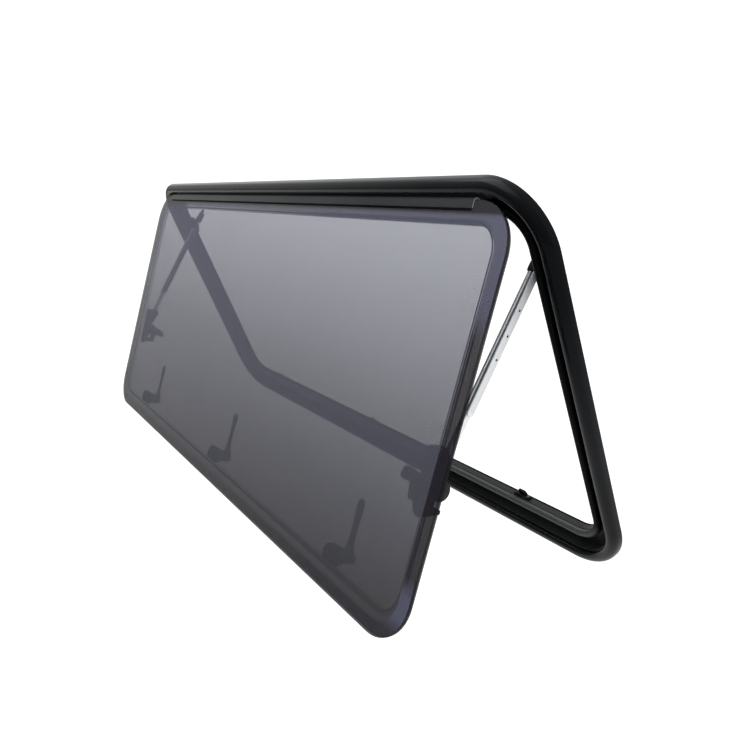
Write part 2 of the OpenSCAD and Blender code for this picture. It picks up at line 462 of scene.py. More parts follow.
def plain_mat(name, dark, light, rough=(0.35, 0.5), grain=700.0, bump_s=0.15, spec=0.5, metallic=0.0, coat=0.0, coat_rough=0.1, stretch=(1, 1, 1), mott=9.0, bump_d=0.00008):
    """Moulded, coated or metal surface: colour drifts between two tones, fine grain in roughness and bump."""
    m, nt, bs = new_mat(name)
    v = coords(nt, stretch)
    big = noise_(nt, v, mott, 4.0, 0.55)
    fine = noise_(nt, v, grain, 2.0, 0.6)
    mid = noise_(nt, v, grain * 0.13, 3.0, 0.5)
    col = mix_col(nt, ramp(nt, big, [(0.3, (0, 0, 0)), (0.72, (1, 1, 1))]), dark, light)
    nt.links.new(col, bs.inputs["Base Color"])
    f = math_(nt, "ADD", math_(nt, "MULTIPLY", mid, 0.65), math_(nt, "MULTIPLY", fine, 0.35))
    r = nt.nodes.new("ShaderNodeMapRange")
    r.inputs["From Min"].default_value = 0.35
    r.inputs["From Max"].default_value = 0.65
    r.inputs["To Min"].default_value = rough[0]
    r.inputs["To Max"].default_value = rough[1]
    nt.links.new(f, r.inputs["Value"])
    nt.links.new(r.outputs[0], bs.inputs["Roughness"])
    bs.inputs["Metallic"].default_value = metallic
    bs.inputs["Specular IOR Level"].default_value = spec
    bs.inputs["Coat Weight"].default_value = coat
    bs.inputs["Coat Roughness"].default_value = coat_rough
    bump(nt, bs, fine, bump_s, bump_d)
    return m


def paint_light_along(m, left, right, x0=-0.45, x1=0.35, axis=0, spec=None):
    """Paints light and shade into a coated profile: its colour and its sheen run from lit values to shaded ones along
    x, or up along z.
    """
    nt = m.node_tree
    bs = [n for n in nt.nodes if n.type == "BSDF_PRINCIPLED"][0]
    was = bs.inputs["Base Color"].links[0].from_socket
    tc = nt.nodes.new("ShaderNodeTexCoord")
    sep = nt.nodes.new("ShaderNodeSeparateXYZ")
    nt.links.new(tc.outputs["Object"], sep.inputs[0])
    mr = nt.nodes.new("ShaderNodeMapRange")
    mr.inputs["From Min"].default_value = x0
    mr.inputs["From Max"].default_value = x1
    nt.links.new(sep.outputs[axis], mr.inputs["Value"])
    painted_light_tone = mix_col(nt, mr.outputs[0], left, right)
    n = nt.nodes.new("ShaderNodeMix")
    n.data_type, n.blend_type = "RGBA", "MULTIPLY"
    n.inputs["Factor"].default_value = 1.0
    nt.links.new(was, n.inputs[6])
    nt.links.new(painted_light_tone, n.inputs[7])
    nt.links.new(n.outputs[2], bs.inputs["Base Color"])
    if spec:
        sr = nt.nodes.new("ShaderNodeMapRange")
        sr.inputs["To Min"].default_value = spec[0]
        sr.inputs["To Max"].default_value = spec[1]
        nt.links.new(mr.outputs[0], sr.inputs["Value"])
        nt.links.new(sr.outputs[0], bs.inputs["Specular IOR Level"])
    return m


def calm_corner(m, x0, x1, z0, z1, high, low):
    """Less sheen towards the upper right corner of the frame."""
    nt = m.node_tree
    bs = [n for n in nt.nodes if n.type == "BSDF_PRINCIPLED"][0]
    tc = nt.nodes.new("ShaderNodeTexCoord")
    sep = nt.nodes.new("ShaderNodeSeparateXYZ")
    nt.links.new(tc.outputs["Object"], sep.inputs[0])
    f = []
    for k, a, b in ((0, x0, x1), (2, z0, z1)):
        mr = nt.nodes.new("ShaderNodeMapRange")
        mr.inputs["From Min"].default_value = a
        mr.inputs["From Max"].default_value = b
        nt.links.new(sep.outputs[k], mr.inputs["Value"])
        f.append(mr.outputs[0])
    nt.links.new(math_(nt, "MULTIPLY_ADD", math_(nt, "MULTIPLY", f[0], f[1]), low - high, high), bs.inputs["Specular IOR Level"])
    return m


# painted light: the bead runs from a lit grey-green at the left to near black at the right, and calm_corner paints less
# sheen into the upper right corner
M_BEAD = paint_light_along(plain_mat("satin_black_extrusion", (0.90, 0.91, 0.92), (1.0, 1.0, 1.0), (0.17, 0.20), 900, 0.02, 0.26), (0.078, 0.081, 0.070), (0.0035, 0.0042, 0.0050), -0.50, 0.36)
calm_corner(M_BEAD, 0.425, 0.475, 0.16, 0.34, 0.26, 0.07)
# painted light: the throat is dark grey and glossier on the bottom rail, lit from above, and near black with little
# sheen higher up
M_THROAT = paint_light_along(plain_mat("inner_black_extrusion", (0.85, 0.86, 0.86), (1.0, 1.0, 1.0), (0.36, 0.44), 900, 0.04, 0.22), (0.030, 0.032, 0.031), (0.0035, 0.0038, 0.0042), 0.025, 0.06, 2, (0.22, 0.05))
M_THROAT_EDGE = plain_mat("inner_black_edge", (0.003, 0.003, 0.004), (0.006, 0.006, 0.007), (0.5, 0.6), 900, 0.10, 0.02)
M_LINER = plain_mat("ribbed_liner_rubber", (0.0022, 0.0024, 0.0028), (0.004, 0.0042, 0.005), (0.45, 0.6), 500, 0.2, 0.25)
# painted highlight: the bulb seal is light grey and glossy along the bottom rail, as a highlight band, and near black
# with little sheen higher up
M_SEAL = paint_light_along(plain_mat("bulb_seal_rubber", (0.88, 0.90, 0.90), (1.0, 1.0, 1.0), (0.36, 0.44), 600, 0.04, 0.5), (0.085, 0.092, 0.090), (0.0035, 0.0038, 0.0042), 0.020, 0.05, 2, (0.5, 0.06))
# painted light: the hinge profile is lighter at the left, where the light falls, and darker towards the right
M_HINGE = paint_light_along(plain_mat("hinge_profile_satin", (0.90, 0.91, 0.92), (1.0, 1.0, 1.0), (0.55, 0.65), 1100, 0.06, 0.12), (0.125, 0.132, 0.120), (0.040, 0.042, 0.044), -0.50, 0.25)
M_FITTING = plain_mat("moulded_black_fitting", (0.006, 0.006, 0.007), (0.010, 0.010, 0.012), (0.38, 0.46), 1300, 0.06, 0.30)
M_KEEPER = plain_mat("moulded_black_keeper", (0.003, 0.003, 0.004), (0.006, 0.006, 0.007), (0.38, 0.46), 1300, 0.06, 0.12)
M_LEVER = plain_mat("moulded_black_lever", (0.008, 0.008, 0.010), (0.013, 0.013, 0.015), (0.36, 0.44), 1300, 0.06, 0.35)
# lit and shaded copies of the stay aluminium: painted shade on the inward side and back, on the crown and in the ribbed
# groove, whose ribs are its own pattern, and a painted highlight on the ridge
M_ALU_INNER_SHADE = plain_mat("aluminium_inner_painted_shade", (0.045, 0.050, 0.055), (0.070, 0.076, 0.082), (0.40, 0.52), 900, 0.05, 0.4, 0.2, 0, 0.1, (1, 1, 0.02), 30.0)
M_ALU = plain_mat("anodised_aluminium", (0.76, 0.78, 0.79), (0.86, 0.88, 0.89), (0.42, 0.55), 900, 0.05, 0.5, 0.10, 0, 0.1, (1, 1, 0.02), 30.0)
M_ALU_CROWN_SHADE = plain_mat("anodised_aluminium_crown_painted_shade", (0.24, 0.26, 0.265), (0.34, 0.36, 0.365), (0.34, 0.46), 900, 0.05, 0.5, 0.2, 0, 0.1, (1, 1, 0.02), 60.0)
M_ALU_RIDGE_HIGHLIGHT = plain_mat("anodised_aluminium_ridge_painted_highlight", (0.90, 0.92, 0.92), (0.96, 0.97, 0.97), (0.40, 0.50), 900, 0.05, 0.5, 0.05, 0, 0.1, (1, 1, 0.02), 30.0)
M_ALU_GROOVE_SHADE = plain_mat("ribbed_groove_painted_shade", (0.13, 0.145, 0.15), (0.23, 0.245, 0.25), (0.5, 0.6), 900, 0.3, 0.4, 0.2, 0, 0.1, (0.2, 0.2, 1), 420.0)
M_ROD = plain_mat("polished_rod", (0.90, 0.905, 0.91), (0.96, 0.965, 0.97), (0.30, 0.42), 900, 0.05, 0.5, 0.1, 0, 0.1, (1, 1, 0.03), 20.0)
M_RIVET = plain_mat("bright_rivet", (0.90, 0.90, 0.90), (0.97, 0.97, 0.97), (0.2, 0.3), 900, 0.05, 0.6, 0.1)
M_SCREW_DARK = plain_mat("blackened_steel_screw", (0.10, 0.10, 0.095), (0.16, 0.16, 0.15), (0.22, 0.34), 1500, 0.1, 0.5, 0.85)
M_CUT = plain_mat("cut_profile_end", (0.42, 0.42, 0.43), (0.52, 0.52, 0.53), (0.35, 0.5), 900, 0.2, 0.5, 0.3)


def acrylic(name, zone, rough=0.11):
    """Smoked acrylic with painted reflection: it lets least through and is darkest at the bottom edge, lighter upwards
    and leaning with x, in the pane's own axes.
    """
    m, nt, bs = new_mat(name)
    tc = nt.nodes.new("ShaderNodeTexCoord")
    sep = nt.nodes.new("ShaderNodeSeparateXYZ")
    nt.links.new(tc.outputs["Object"], sep.inputs[0])
    x, s = sep.outputs[0], sep.outputs[1]
    sn = math_(nt, "DIVIDE", s, 0.4088)
    xn = math_(nt, "DIVIDE", x, 0.430)
    xm = math_(nt, "MULTIPLY_ADD", x, 1 / 0.959, 0.5)
    # painted reflection: light let through by the whole pane, least at the bottom: mean over x, and how it leans
    # towards +x
    mean = ramp(nt, sn, [(p, (v, v, v)) for p, v in zone["mean"]])
    lean = ramp(nt, sn, [(p, (v, v, v)) for p, v in zone["lean"]])
    lean = math_(nt, "SUBTRACT", lean, 0.5)
    T = math_(nt, "ADD", mean, math_(nt, "MULTIPLY", lean, xn))
    wave = noise_(nt, coords(nt, (1, 1, 1)), 6.0, 3.0, 0.5)
    T = math_(nt, "MULTIPLY", T, math_(nt, "ADD", math_(nt, "MULTIPLY", wave, 0.05), 0.975))
    T = math_(nt, "MAXIMUM", T, 0.0008)
    a = math_(nt, "SUBTRACT", 1.0, math_(nt, "POWER", T, 0.25), clamp=True)
    nt.links.new(a, bs.inputs["Alpha"])
    # painted reflection: colour up the right-hand side and up the left-hand side, blended across
    right = ramp(nt, sn, zone["right"])
    left = ramp(nt, sn, zone["left"])
    side = ramp(nt, xm, [(zone.get("from", 0.0), (0, 0, 0)), (zone.get("to", 1.0), (1, 1, 1))])
    nt.links.new(mix_col(nt, side, left, right), bs.inputs["Base Color"])
    r = nt.nodes.new("ShaderNodeMapRange")
    r.inputs["To Min"].default_value = rough * 0.9
    r.inputs["To Max"].default_value = rough * 1.1
    nt.links.new(noise_(nt, coords(nt, (1, 1, 1)), 9.0, 2.0, 0.5), r.inputs["Value"])
    nt.links.new(r.outputs[0], bs.inputs["Roughness"])
    bs.inputs["IOR"].default_value = 1.49
    bs.inputs["Specular IOR Level"].default_value = zone.get("spec", 0.3)
    return m


# painted reflection on the clear field: it lets more through and grows lighter and bluer towards the top, and is
# lighter up the left-hand side
CENTRE = {"mean": [(0.0, 0.022), (0.245, 0.043), (0.489, 0.078), (0.734, 0.149), (1.0, 0.226)],
          "lean": [(0.0, 0.485), (0.245, 0.486), (0.489, 0.50), (1.0, 0.540)],
          "left": [(0.0, (0.114, 0.116, 0.132)), (0.489, (0.160, 0.166, 0.200)), (1.0, (0.176, 0.182, 0.240))],
          "right": [(0.0, (0.051, 0.051, 0.052)), (0.489, (0.104, 0.108, 0.138)), (1.0, (0.158, 0.172, 0.244))]}
# flange colours: lilac, bright lilac, moss and deep grey are painted reflections, ash is painted shade in the top
# corner, smoke and low are plain dark tones
LILAC_REFLECTION, BRIGHT_REFLECTION, SMOKE, ASH_SHADE, LOW = (0.100, 0.102, 0.150), (0.125, 0.130, 0.185), (0.016, 0.014, 0.020), (0.040, 0.039, 0.046), (0.033, 0.032, 0.039)
MOSS_REFLECTION, DEEP_REFLECTION = (0.118, 0.125, 0.112), (0.093, 0.095, 0.090)
# the formed wall is dense, because it is seen along its length; its lighter, bluer colour up the left-hand side is
# painted reflection
WALL = {"mean": [(0.0, 0.008), (1.0, 0.012)], "lean": [(0.0, 0.490), (1.0, 0.470)],
        "left": [(0.0, (0.110, 0.112, 0.118)), (1.0, (0.165, 0.170, 0.195))],
        "right": [(0.0, SMOKE)], "from": 0.0, "to": 0.75}
# painted reflection over the flange: lilac at both ends of the right-hand side, smoky between, a painted shade of ash
# grey in the top corner, and deep to moss grey up the left
FLANGE = {"mean": [(0.0, 0.019), (0.135, 0.018), (0.175, 0.034), (0.70, 0.046), (0.76, 0.025)], "lean": [(0.0, 0.49), (1.0, 0.49)],
          "left": [(0.0, DEEP_REFLECTION), (0.6, MOSS_REFLECTION)],
          "right": [(0.0, LOW), (0.04, LOW), (0.08, LILAC_REFLECTION), (0.135, LILAC_REFLECTION), (0.175, SMOKE), (0.70, SMOKE), (0.76, LILAC_REFLECTION), (0.962, BRIGHT_REFLECTION), (0.972, ASH_SHADE)], "from": 0.05, "to": 0.85}
M_PANE = acrylic("smoked_acrylic", CENTRE)
M_WALL = acrylic("smoked_acrylic_wall", WALL)
M_FLANGE = acrylic("smoked_acrylic_flange", FLANGE)
EDGE = {"mean": [(0.0, 0.001), (1.0, 0.003)], "lean": [(0.0, 0.50)], "spec": 0.2,
        "left": [(0.0, (0.060, 0.062, 0.056)), (1.0, (0.095, 0.100, 0.085))],
        "right": [(0.0, (0.004, 0.004, 0.006))], "from": 0.55, "to": 0.93}
M_EDGE = acrylic("smoked_acrylic_edge", EDGE, 0.2)
M_BOND = plain_mat("bonding_tape", (0.012, 0.012, 0.014), (0.018, 0.018, 0.021), (0.5, 0.65), 600, 0.2, 0.3)


def place(ob, body, replaces=()):
    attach(ob, body)
    if replaces:
        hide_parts(*replaces)
    return ob


HW, HH = FRAME_W / 2, FRAME_H / 2

# ---------------------------------------------------------------- frame
crown = spline([(0.05, -3.4), (0.6, -7.0), (2.4, -10.2), (5.2, -12.2), (8.5, -12.88), (11.6, -12.3), (13.55, -10.9)], 4)
bead = [(14.0, 0.0), (0.35, 0.0), (0.1, -0.12), (0.0, -0.4), (0.0, -1.8), (0.0, -3.0)] + crown + [(13.9, -10.3), (14.0, -9.6), (14.0, -5.0)]
place(join("visual_frame_bead", [ring_sweep(bead, HW, HH, CORNER_R, 32, 12)], None, [M_BEAD], 40), "frame", ["frame_bead"])

throat = arc_fillet([(14, -6, 0), (15.5, -6, 0.35), (15.5, 6, 0.9), (28, 6, 0.5), (28, 3, 0.5), (36.8, 3, 0.8), (36.8, 10.8, 0), (36.8, 13.5, 0.6), (34.4, 13.5, 0.6), (34.4, 8, 0.6), (14, 8, 0)], 4)
ob = join("visual_frame_throat", [ring_sweep(throat, HW, HH, CORNER_R, 32, 12)], None, [M_THROAT, M_THROAT_EDGE], 40)
for f in ob.data.polygons:
    if f.center.y > 10.82 * MM:
        f.material_index = 1
place(ob, "frame", ["frame_throat"])

rib = [(17, 6, 0)]
for k in range(5):
    u = 17 + 1.8 * k
    rib += [(u + 0.05, 5.0, 0.25), (u + 1.05, 5.0, 0.25), (u + 1.15, 5.6, 0.12), (u + 1.7, 5.6, 0.12)]
rib += [(26, 5.6, 0), (26, 6, 0)]
place(join("visual_recess_liner", [ring_sweep(arc_fillet(rib, 2), HW, HH, CORNER_R, 32, 12)], None, [M_LINER], 40), "frame", ["recess_liner"])

bulb = [(28.6, 3.0), (28.35, 2.2)] + [(32.4 + 4.28 * math.cos(math.radians(a)), 0.9 + 4.28 * math.sin(math.radians(a))) for a in range(170, 371, 8)] + [(36.45, 2.2), (36.2, 3.0)]
bulb = [(u, y) for u, y in bulb]
place(join("visual_bulb_seal", [ring_sweep(bulb, HW, HH, CORNER_R, 32, 12)], None, [M_SEAL], 45), "frame", ["bulb_seal"])

# ---------------------------------------------------------------- keepers on the bottom rail
for nm, x in (("left", -PITCH), ("mid", 0.0), ("right", PITCH)):
    T = Matrix.Translation((x, 0, Z0 + 36.8))

    def upright(pts, y0, y1, c=0.35):
        """Outline drawn in (x, z), standing from y0 to y1."""
        e = prism(pts, -y1, -y0, c)
        return ([(v[0], -v[2], v[1]) for v in e[0]], e[1])

    base = prism(arc_fillet([(-13, 4.6, 1.2), (13, 4.6, 1.6), (13, 11.7, 1.6), (-13, 11.7, 1.2)], 4), 0.0, 1.8, 0.5, 0.0)
    block = upright(arc_fillet([(-12.3, 0.4, 0), (-12.3, 3.4, 0.6), (-9.0, 4.4, 1.5), (-4.0, 4.4, 2.0), (-0.6, 2.9, 2.0), (0.6, 0.4, 0)], 5), 4.85, 7.9)
    rim = upright(arc_fillet([(-12.3, 3.0, 0), (-12.3, 3.6, 0.3), (-9.0, 4.55, 1.5), (-4.0, 4.55, 2.0), (-0.5, 3.05, 2.0), (0.6, 0.6, 0), (0.0, 0.5, 0), (-0.9, 2.5, 2.0), (-4.0, 3.9, 2.0), (-9.0, 3.9, 1.5)], 5), 4.65, 5.2, 0.15)
    fin = upright(arc_fillet([(-6.9, 0.4, 0), (-6.9, 7.35, 0.5), (2.5, 7.35, 0.9), (5.0, 4.2, 1.2), (6.6, 1.8, 0.8), (6.9, 0.4, 0)], 5), 8.75, 11.65, 0.45)
    boss = prism([(9.4 + 2.9 * math.cos(2 * math.pi * i / 28), 8.0 + 2.9 * math.sin(2 * math.pi * i / 28)) for i in range(28)], 1.4, 3.2, 0.4, 0.0)
    place(join("visual_keeper_" + nm, [moved(q, T) for q in (base, block, rim, fin, boss)], None, [M_KEEPER], 35), "frame", ["keeper_" + nm])
    head = moved(screw_head(2.1, 0.9), T @ Matrix.Translation((9.4, 8.0, 3.1)) @ Matrix.Rotation(0.5 + x, 4, "Z"))
    place(join("visual_keeper_screw_" + nm, [head], None, [M_SCREW_DARK], 30), "frame")

# ---------------------------------------------------------------- pane
A = rr(PANE_W / 2, 0, PANE_H, PANE_R, 28, 10)


def pane_loop(d_in):
    return rr(PANE_W / 2 - d_in, d_in, PANE_H - d_in, PANE_R - d_in if d_in < 30 else max(6, PANE_R - d_in), 28, 10)


def plate_loops(levels, caps, mats_between):
    """Nested rounded rectangles [(inset, z)] closed in a loop of levels; caps are n-gons on named levels."""
    V, F, M = [], [], []
    K = len(A)
    for d, z in levels:
        V += [(p[0], p[1], z) for p in pane_loop(d)]
    for j in range(len(levels) - 1):
        for i in range(K):
            k = (i + 1) % K
            F.append((j * K + i, j * K + k, (j + 1) * K + k, (j + 1) * K + i))
            M.append(mats_between[j])
    for lv, mi in caps:
        F.append(tuple(range(lv * K, (lv + 1) * K)))
        M.append(mi)
    return V, F, M


def wall_loop(d_in):
    """As pane_loop, with the formed wall set 4 mm further out at the sides and the top."""
    e = 4.0 if d_in > 10 else 0.0
    return rr(PANE_W / 2 - d_in + e, d_in, PANE_H - d_in + e, PANE_R - d_in + e, 28, 10)


# outer sheet: flat, clear up to 15 mm from the edge, with a dark edge. Materials: 0 clear field, 1 margin, 2 edge
lv = [(15.0, 0.0), (0.6, 0.0), (0.3, -0.03), (0.08, -0.2), (0.0, -0.5), (0.0, -2.55), (0.35, -2.95), (1.3, -2.95), (17.0, -2.95)]
V, F, Mi = plate_loops(lv, [(0, 0), (8, 0)], [1, 2, 2, 2, 2, 2, 2, 1])
ob = obj_from("visual_outer_sheet", V, F, PANE_M, [M_PANE, M_FLANGE, M_EDGE], Mi, 32)
place(ob, "pane", ["outer_sheet"])

# inner sheet: flange, formed wall with soft bends, raised field; 2 mm thick
front = [(0.5, -3.0), (20.6, -3.0), (21.6, -3.12), (22.4, -3.5), (22.9, -4.1), (23.6, -6.2), (24.1, -6.9), (24.9, -7.35), (26.0, -7.5)]
back = [(24.8, -9.5), (23.4, -9.3), (22.5, -8.7), (22.0, -7.8), (21.5, -5.8), (21.1, -5.25), (20.2, -5.0), (0.9, -5.0), (0.5, -4.6)]
lv = front + back
V, F, Mi = [], [], []
K = len(A)
for d, z in lv:
    V += [(p[0], p[1], z) for p in wall_loop(d)]
nf = len(front)
for j in range(len(lv)):
    if j == nf - 1:
        continue
    b = (j + 1) % len(lv)
    m = 3 if j == len(lv) - 1 else (2 if lv[j][0] < 20.0 and lv[b][0] < 20.9 or lv[b][0] < 1 or lv[j][0] < 1 else 1)
    for i in range(K):
        k = (i + 1) % K
        F.append((j * K + i, j * K + k, b * K + k, b * K + i))
        Mi.append(m)
F.append(tuple(range((nf - 1) * K, nf * K)))
Mi.append(0)
F.append(tuple(range(nf * K, (nf + 1) * K)))
Mi.append(0)
ob = obj_from("visual_inner_sheet", V, F, PANE_M, [M_PANE, M_WALL, M_FLANGE, M_EDGE], Mi, 32)
place(ob, "pane", ["inner_sheet"])

# bond line between the sheets, in the corner of the formed wall
sp = [(22.9, -3.02), (24.6, -3.02), (24.6, -3.6), (23.2, -3.6)]
V, F = [], []
for d, z in sp:
    V += [(p[0], p[1], z) for p in wall_loop(d)]
for j in range(4):
    b = (j + 1) % 4
    for i in range(K):
        k = (i + 1) % K
        F.append((j * K + i, j * K + k, b * K + k, b * K + i))
place(obj_from("visual_sheet_spacer", V, F, PANE_M, [M_BOND], None, 32), "pane", ["sheet_spacer"])

# hinge strip along the top: clip with a face, arm and rolled barrel
face = arc_fillet([(400.8, 0.8, 0.25), (408.9, 0.8, 0.5), (411.2, -1.5, 0.5), (411.2, -5.95, 0.3), (400.8, -5.95, 0.2), (400.8, -5.05, 0.1), (408.85, -5.05, 0.1), (408.85, 0.05, 0.1), (400.8, 0.05, 0.1)], 3)
arm = arc_fillet([(409.4, -5.2, 0), (411.2, -5.2, 0), (411.2, -9.4, 0.3), (414.6, -9.6, 0.3), (414.6, -12.9, 0.3), (409.4, -12.9, 0.5)], 3)
XS = 424.0


def along_x(pts, x0, x1, c=0.15):
    p = prism(pts, x0, x1, c)
    return ([(v[2], v[0], v[1]) for v in p[0]], p[1])


def end_mats(part, x):
    """Gives the faces at the two cut ends material 1."""
    V, F = part
    mi = [1 if all(abs(abs(V[i][0]) - x) < 0.3 for i in f) and max(V[i][0] for i in f) - min(V[i][0] for i in f) < 1 else 0 for f in F]
    return V, F, mi


V, F, mi = end_mats(along_x(face, -XS, XS, 0.12), XS)
ob = obj_from("visual_hinge_strip_face", V, F, PANE_M, [M_HINGE, M_CUT], mi, 32)
place(ob, "pane", ["hinge_strip"])
# painted shadow: a thin near-black strip on the pane just under the hinge strip
shadow_line = arc_fillet([(398.3, 0.02, 0.1), (400.75, 0.02, 0.1), (400.75, 0.7, 0.2), (399.0, 0.45, 0.3)], 2)
place(join("visual_strip_shadow_line", [along_x(shadow_line, -XS + 2, XS - 1, 0.1)], PANE_M, [M_THROAT_EDGE], 32), "pane")
parts = [along_x(arm, -XS, XS, 0.15)]
hs, hzz = HZ - PZ, PY - HY
for a, b in ((-XS, -148.0), (-138.0, 138.0), (148.0, XS)):
    tube = [(math.cos(math.radians(t)) * 3.0 + hs, math.sin(math.radians(t)) * 3.0 + hzz) for t in range(0, 360, 12)]
    bore = [(math.cos(math.radians(t)) * 1.7 + hs, math.sin(math.radians(t)) * 1.7 + hzz) for t in range(0, 360, 12)]
    V, F = [], []
    N = len(tube)
    for pts, x in ((tube, a), (tube, b), (bore, b), (bore, a)):
        V += [(x, p[0], p[1]) for p in pts]
    for j in range(4):
        c = (j + 1) % 4
        for i in range(N):
            k = (i + 1) % N
            F.append((j * N + i, j * N + k, c * N + k, c * N + i))
    parts.append((V, F))
place(join("visual_hinge_barrel", parts, PANE_M, [M_HINGE], 32), "pane")

# ---------------------------------------------------------------- latches
for nm, x in (("left", -PITCH), ("mid", 0.0), ("right", PITCH)):
    T = Matrix.Translation((x, LATCH_S, 0))
    # pad in the gap between the sheets, with its lower side cut off by the bond line
    arc = [(13.5 * math.cos(math.radians(t)), 13.5 * math.sin(math.radians(t))) for t in range(-28, 209, 4)]
    place(join("visual_latch_pad_" + nm, [moved(prism(arc, -6.9, -3.1, 0.3), T)], PANE_M, [M_FITTING], 35), "pane", ["latch_pad_" + nm])
    dome = lathe([(11.5, -9.5), (11.5, -11.9), (11.3, -12.5), (10.8, -13.2), (10.2, -14.4), (9.8, -15.8), (9.2, -17.2), (8.5, -18.5), (7.8, -19.6), (7.3, -20.4), (6.6, -20.7)], 48)
    pin = lathe([(3.0, -20.0), (3.0, -27.6), (2.7, -28.2), (2.2, -28.45), (0.0, -28.5)], 24)
    place(join("visual_latch_base_" + nm, [moved(dome, T), moved(pin, T)], PANE_M, [M_FITTING], 35), "pane", ["latch_base_" + nm])
    # lever: hub, blade with a paddle end, cam foot
    hub = lathe([(3.1, -21.7), (7.6, -21.7), (8.3, -22.2), (8.45, -23.2), (8.45, -29.4), (8.1, -30.6), (7.0, -31.2), (5.2, -31.45), (3.1, -31.45), (3.1, -28.6), (0.0, -28.6)], 40)
    secs = []
    for s, w, t, d in ((0, 13.0, 6.6, -26.6), (6, 12.4, 6.2, -26.7), (11, 11.4, 5.0, -26.9), (16, 10.2, 4.0, -27.0), (22, 9.6, 3.4, -27.1), (30, 9.4, 3.3, -27.1), (38, 9.6, 3.6, -27.2), (46, 10.2, 4.1, -27.3), (53, 11.0, 4.5, -27.3), (58.4, 11.1, 4.5, -27.3), (61.4, 9.4, 4.1, -27.3), (63.2, 6.0, 3.0, -27.3), (63.9, 2.4, 1.6, -27.3)):
        secs.append([(a, s, d + b) for a, b in superell(w, t, 24, 2.6)])
    stem = loft(secs)
    secs = []
    for u, w, t, d in ((0, 10.0, 6.4, -25.75), (6, 10.0, 6.4, -25.75), (10, 9.6, 6.4, -25.75), (12.4, 7.8, 6.0, -25.75), (13.7, 4.4, 4.6, -25.75)):
        secs.append([(u, a, d + b) for a, b in superell(w, t, 24, 3.2)])
    foot = loft(secs)
    place(join("visual_latch_lever_" + nm, [moved(p, T) for p in (hub, stem, foot)], PANE_M, [M_LEVER], 38), "lever_" + nm, ["latch_lever_" + nm])

